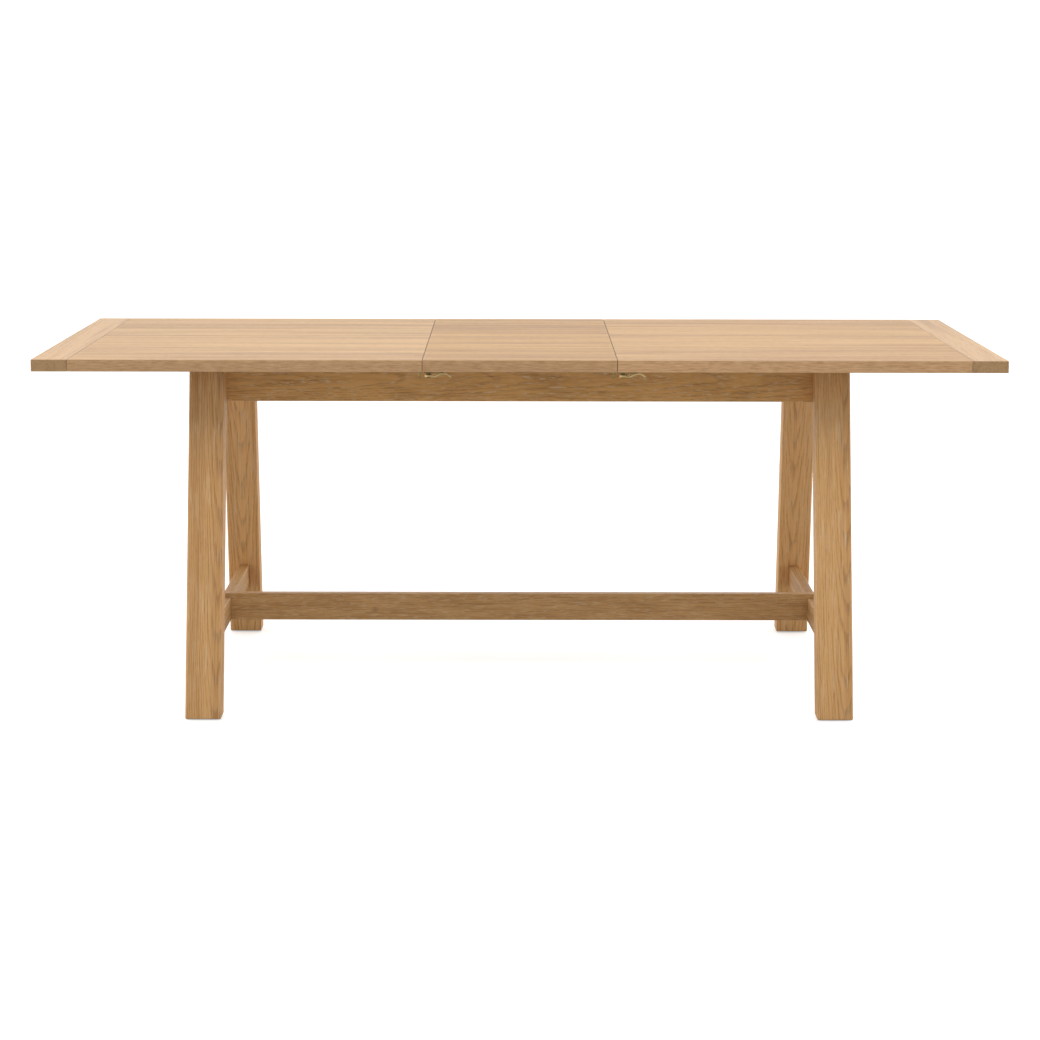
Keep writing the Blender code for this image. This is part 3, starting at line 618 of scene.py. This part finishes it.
def finish_top():
    """Boards along the table between breadboard ends, with a dark line where the panels meet."""
    leaf_low, leaf_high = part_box("leaf_panel")
    seams = [(ALONG_X, leaf_low.x), (ALONG_X, leaf_high.x)]
    joints = {
        side_name: (ALONG_X, joint_x(side_name, side)) for side_name, side in SIDES.items()
    }
    for node, (seed, pale, deep, edge_light) in TOP_PANELS.items():
        paint(node, oak_finish(
            f"oak_{node}", node, ALONG_X, ALONG_Z, seed,
            board=TOP_BOARD_WIDTH, shift=TOP_BOARD_SHIFT, pith=(0.0, 0.05), spread=0.20,
            taper=0.012, rings=0.14, streaks=1.7, lime=0.22, pale=pale, deep=deep,
            edge_cover=0.75, edge_light=edge_light, dark_ends=seams + list(joints.values()),
        ))
    for number, side_name in enumerate(SIDES):
        node = f"{side_name}_breadboard_end"
        paint(node, oak_finish(
            f"oak_{node}", node, ALONG_Y, ALONG_Z, BREADBOARD_SEEDS[number], pith=(0.05, 0.04),
            taper=0.02, rings=0.14, lime=0.40, edge_cover=0.3, pale=BREADBOARD_PALE,
            deep=BREADBOARD_DEEP, dark_ends=[joints[side_name]],
        ))


def joint_x(side_name, side):
    """Where a panel's shoulder meets its breadboard end."""
    low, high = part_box(f"{side_name}_breadboard_end")
    return high.x if side < 0 else low.x


def finish_frame():
    """Every piece of the frame gets its own length of oak, with the grain along the piece."""
    seed = FRAME_SEED
    for side_name in SIDES:
        for end_name, end in ENDS.items():
            seed += 1
            node = f"{end_name}_{side_name}_leg"
            down = Vector((0.0, end * LEG_SPLAY, -1.0))
            # painted light: the rear legs take the lighter of the two tints
            pale, deep = LEG_TINTS_WITH_PAINTED_LIGHT[end_name]
            paint(node, oak_finish(
                f"oak_{node}", node, down, -ALONG_Y, seed, pith=LEG_PITHS[f"{end_name}_{side_name}"],
                taper=0.038, rings=0.36, streaks=1.2, lime=1.0, pale=pale, deep=deep,
            ))
            seed += 1
            node = f"{side_name}_{end_name}_runner"
            paint(node, oak_finish(f"oak_{node}", node, ALONG_X, ALONG_Z, seed))
    for end_name, end in ENDS.items():
        seed += 1
        node = f"{end_name}_apron"
        paint(node, oak_finish(
            f"oak_{node}", node, ALONG_X, ALONG_Y * end, seed, pith=(0.01, 0.05), taper=0.020,
            rings=0.25, streaks=1.1, shortness=6.0, lime=1.0, pale=APRON_PALE, deep=APRON_DEEP,
        ))
    seed += 1
    paint("long_stretcher", oak_finish(
        "oak_long_stretcher", "long_stretcher", ALONG_X, -ALONG_Y, seed, taper=0.015,
        streaks=1.2, shortness=5.0, lime=0.8, knot=True,
    ))
    crosswise = [f"leaf_{side_name}_batten" for side_name in SIDES]
    for side_name in SIDES:
        crosswise += [
            f"{side_name}_{piece}"
            for piece in ("cross_rail", "head_rail", "inner_batten", "outer_batten")
        ]
    for node in crosswise:
        seed += 1
        face = ALONG_X if "rail" in node else ALONG_Z
        paint(node, oak_finish(f"oak_{node}", node, ALONG_Y, face, seed, lime=0.45))


def cross_reach(angle):
    """How far the driver's cross reaches in that direction, as a share of the head's radius."""
    quarter = (angle + math.pi / 4) % (math.pi / 2) - math.pi / 4
    if abs(quarter) <= math.atan2(CROSS_HALF_WIDTH, CROSS_ARM):
        return CROSS_ARM / math.cos(quarter)
    return CROSS_HALF_WIDTH / abs(math.sin(quarter))


def screw_rings(head_radius, head_height, washer):
    """The rings of a screw's visible part from its seat to the floor of its cross recess."""
    corner = math.atan2(CROSS_HALF_WIDTH, CROSS_ARM)
    steps = (-math.pi / 4, -ROUND_STEP, -corner, 0.0, corner, ROUND_STEP)
    angles = [arm * math.pi / 2 + step for arm in range(4) for step in steps]
    rings = []
    seat = 0.0
    if washer:
        radius, seat = washer
        for share, rise in WASHER_PROFILE:
            rings.append([(radius * share, angle, seat * rise) for angle in angles])
    for share, rise in HEAD_PROFILE:
        rings.append([(head_radius * share, angle, seat + head_height * rise) for angle in angles])
    for share, rise in CROSS_PROFILE:
        rings.append([
            (head_radius * share * cross_reach(angle), angle, seat + head_height * rise)
            for angle in angles
        ])
    return rings


def add_screws(node, body, places, facing, head, finish, washer=None):
    """Cross-head screws seated at those places on a piece, each turned its own way."""
    mesh = bpy.data.meshes.new(f"{node}_screws")
    shape = bmesh.new()
    rings = screw_rings(*head, washer)
    upright = facing.to_track_quat("Z", "X").to_matrix()
    for number, place in enumerate(places):
        turn = SCREW_TURN * number
        loops = [
            [
                shape.verts.new(place + upright @ Vector(
                    (radius * math.cos(angle + turn), radius * math.sin(angle + turn), height)
                ))
                for radius, angle, height in ring
            ]
            for ring in rings
        ]
        shape.faces.new(loops[0][::-1])
        shape.faces.new(loops[-1])
        for outer, inner in zip(loops, loops[1:]):
            for index, vertex in enumerate(outer):
                following = (index + 1) % len(outer)
                shape.faces.new((vertex, outer[following], inner[following], inner[index]))
    shape.to_mesh(mesh)
    shape.free()
    mesh.shade_smooth()
    mesh.set_sharp_from_angle(angle=SHARP_ANGLE)
    mesh.materials.append(finish)
    screws = bpy.data.objects.new(f"{node}_screws", mesh)
    bpy.context.scene.collection.objects.link(screws)
    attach(screws, body)


def spread(low, high, inset, count):
    """That many numbers from low to high, evenly apart, the outer ones inset."""
    gap = (high - low - 2 * inset) / (count - 1)
    return [low + inset + gap * number for number in range(count)]


def add_batten_screws(node, body):
    low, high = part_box(node)
    middle = (low.x + high.x) / 2
    rows = spread(low.y, high.y, SCREW_INSET, BATTEN_SCREWS)
    places = [Vector((middle, y, low.z)) for y in rows]
    add_screws(node, body, places, -ALONG_Z, PAN_HEAD, ZINC, WASHER)


def add_slide_screws(side_name, end_name, end):
    """Screws hold the runner to the top, and each slide member to its runner or apron."""
    body = f"{side_name}_top"
    node = f"{side_name}_{end_name}_runner"
    low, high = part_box(node)
    rows = spread(low.x, high.x, SCREW_INSET, RUNNER_SCREWS)
    places = [Vector((x, (low.y + high.y) / 2, low.z)) for x in rows]
    add_screws(node, body, places, -ALONG_Z, PAN_HEAD, ZINC, WASHER)
    for kind, rider, outwards in (("moving", body, end), ("fixed", "base_frame", -end)):
        node = f"{side_name}_{end_name}_{kind}_slide"
        low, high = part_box(node)
        web = min(abs(low.y), abs(high.y)) if kind == "moving" else max(abs(low.y), abs(high.y))
        web = end * web + outwards * SLIDE_WALL
        rows = spread(low.x, high.x, SCREW_INSET, SLIDE_SCREWS)
        places = [Vector((x, web, (low.z + high.z) / 2)) for x in rows]
        facing = ALONG_Y * outwards
        add_screws(node, rider, places, facing, SLIDE_HEAD, ZINC)


def add_catch_screws(node, body, aside):
    """Two screws through the holes of a catch's plate."""
    low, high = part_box(node)
    middle = (low + high) / 2
    reach = (high.y - low.y) * PLATE_SCREW_SPREAD
    places = [
        Vector((middle.x + aside, middle.y + way * reach, high.z - PLATE_THICKNESS))
        for way in (-1, 1)
    ]
    add_screws(node, body, places, -ALONG_Z, PLATE_HEAD, BRASS)


def add_all_screws():
    for side_name in SIDES:
        add_batten_screws(f"leaf_{side_name}_batten", "leaf")
        for place in ("inner", "outer"):
            add_batten_screws(f"{side_name}_{place}_batten", f"{side_name}_top")
        for end_name, end in ENDS.items():
            add_slide_screws(side_name, end_name, end)
    for end_name in ENDS:
        for seam, plate_body, keeper_body in (
            ("left_seam", "leaf", "left_top"), ("right_seam", "right_top", "leaf")
        ):
            add_catch_screws(f"{seam}_{end_name}_catch_plate", plate_body, PLATE_SCREW_ASIDE)
            add_catch_screws(f"{seam}_{end_name}_catch_keeper", keeper_body, 0.0)


def set_camera():
    data = bpy.data.cameras.new("camera")
    data.sensor_width = CAMERA_SENSOR
    data.lens = CAMERA_LENS
    data.shift_y = CAMERA_SHIFT
    camera = bpy.data.objects.new("camera", data)
    bpy.context.scene.collection.objects.link(camera)
    camera.matrix_world = (
        Matrix.Translation(CAMERA_PLACE)
        @ Matrix.Rotation(-CAMERA_YAW, 4, "Z")
        @ Matrix.Rotation(math.pi / 2 - CAMERA_PITCH, 4, "X")
        @ Matrix.Rotation(CAMERA_ROLL, 4, "Z")
    )
    bpy.context.scene.camera = camera


def soft_light(name, place, target, size, power):
    data = bpy.data.lights.new(name, "AREA")
    data.shape = "RECTANGLE"
    data.size, data.size_y = size
    data.energy = power
    light = bpy.data.objects.new(name, data)
    bpy.context.scene.collection.objects.link(light)
    light.location = place
    light.rotation_euler = (Vector(target) - Vector(place)).to_track_quat("-Z", "Y").to_euler()


def set_surround():
    """A white room: the backdrop behind the table glows, and the room in front is dimmer."""
    world = bpy.data.worlds.new("white_room")
    bpy.context.scene.world = world
    world.use_nodes = True
    s = Shading(world.node_tree)
    background = world.node_tree.nodes["Background"]
    background.inputs["Color"].default_value = (1.0, 1.0, 1.0, 1.0)
    direction = s.node("ShaderNodeTexCoord").outputs["Generated"]
    behind = s.step(s.dot(direction, ALONG_Y), *ROOM_TURN, ROOM_GLOW, BACKDROP_GLOW)
    seen = s.node("ShaderNodeLightPath").outputs["Is Camera Ray"]
    s.feed(background.inputs["Strength"], s.calculate("MAXIMUM", behind, seen))


def set_floor():
    """A floor that looks white, throws back part of the light and hides nothing from below."""
    mesh = bpy.data.meshes.new("floor")
    shape = bmesh.new()
    bmesh.ops.create_grid(shape, x_segments=1, y_segments=1, size=FLOOR_REACH)
    shape.to_mesh(mesh)
    shape.free()
    floor = bpy.data.objects.new("floor", mesh)
    floor.location.z = CAD_BOX[0][2] - FLOOR_DROP
    bpy.context.scene.collection.objects.link(floor)
    material, s, shader = new_material("floor")
    seen = s.node("ShaderNodeLightPath").outputs["Is Camera Ray"]
    from_below = s.node("ShaderNodeNewGeometry").outputs["Backfacing"]
    s.feed(shader.inputs["Base Color"], s.mix(seen, FLOOR_BOUNCE, FLOOR_SEEN))
    s.feed(shader.inputs["Emission Strength"], s.times(seen, FLOOR_GLOW))
    s.feed(shader.inputs["Alpha"], s.minus(1.0, from_below))
    shader.inputs["Emission Color"].default_value = (1.0, 1.0, 1.0, 1.0)
    shader.inputs["Roughness"].default_value = FLOOR_ROUGHNESS
    shader.inputs["Specular IOR Level"].default_value = 0.0
    mesh.materials.append(material)


def set_studio():
    set_surround()
    set_floor()
    for light in LIGHTS:
        soft_light(*light)
    bpy.context.scene.view_settings.view_transform = "Standard"


GRAIN = grain_group()
finish_top()
finish_frame()
BRASS = metal_finish(
    "pressed_brass", (0.86, 0.66, 0.33), (0.60, 0.44, 0.20), 0.40, BRASS_CLOUD_RATE
)
# Painted shade: the keepers take a darker copy of the catch brass, toned for the shade they sit in
# under the top's edge
KEEPER_BRASS_PAINTED_SHADE = metal_finish(
    "worn_brass", (0.52, 0.42, 0.20), (0.38, 0.30, 0.13), 0.45, BRASS_CLOUD_RATE
)
# Painted shade: the catch parts other than levers and keepers, the plates among them, take a dark
# copy of the brass, so they show as a dark band where there is shade under the top's edge
PAINTED_SHADE_BRASS = metal_finish(
    "dull_brass", (0.26, 0.21, 0.085), (0.15, 0.12, 0.05), 0.42, BRASS_CLOUD_RATE
)
ZINC = metal_finish(
    "plated_steel", (0.66, 0.67, 0.68), (0.59, 0.60, 0.62), 0.36, ZINC_CLOUD_RATE
)
NYLON = nylon_finish("moulded_nylon")
for name in NODES:
    if "lever" in name:
        paint(name, BRASS)
    # painted shade: the keepers take the darker copy of the brass
    elif "keeper" in name:
        paint(name, KEEPER_BRASS_PAINTED_SHADE)
    # painted shade: the dark copy of the brass
    elif "catch" in name:
        paint(name, PAINTED_SHADE_BRASS)
    elif "slide" in name or "bolt" in name:
        paint(name, ZINC)
    elif "glide" in name:
        paint(name, NYLON)
add_all_screws()
set_camera()
set_studio()
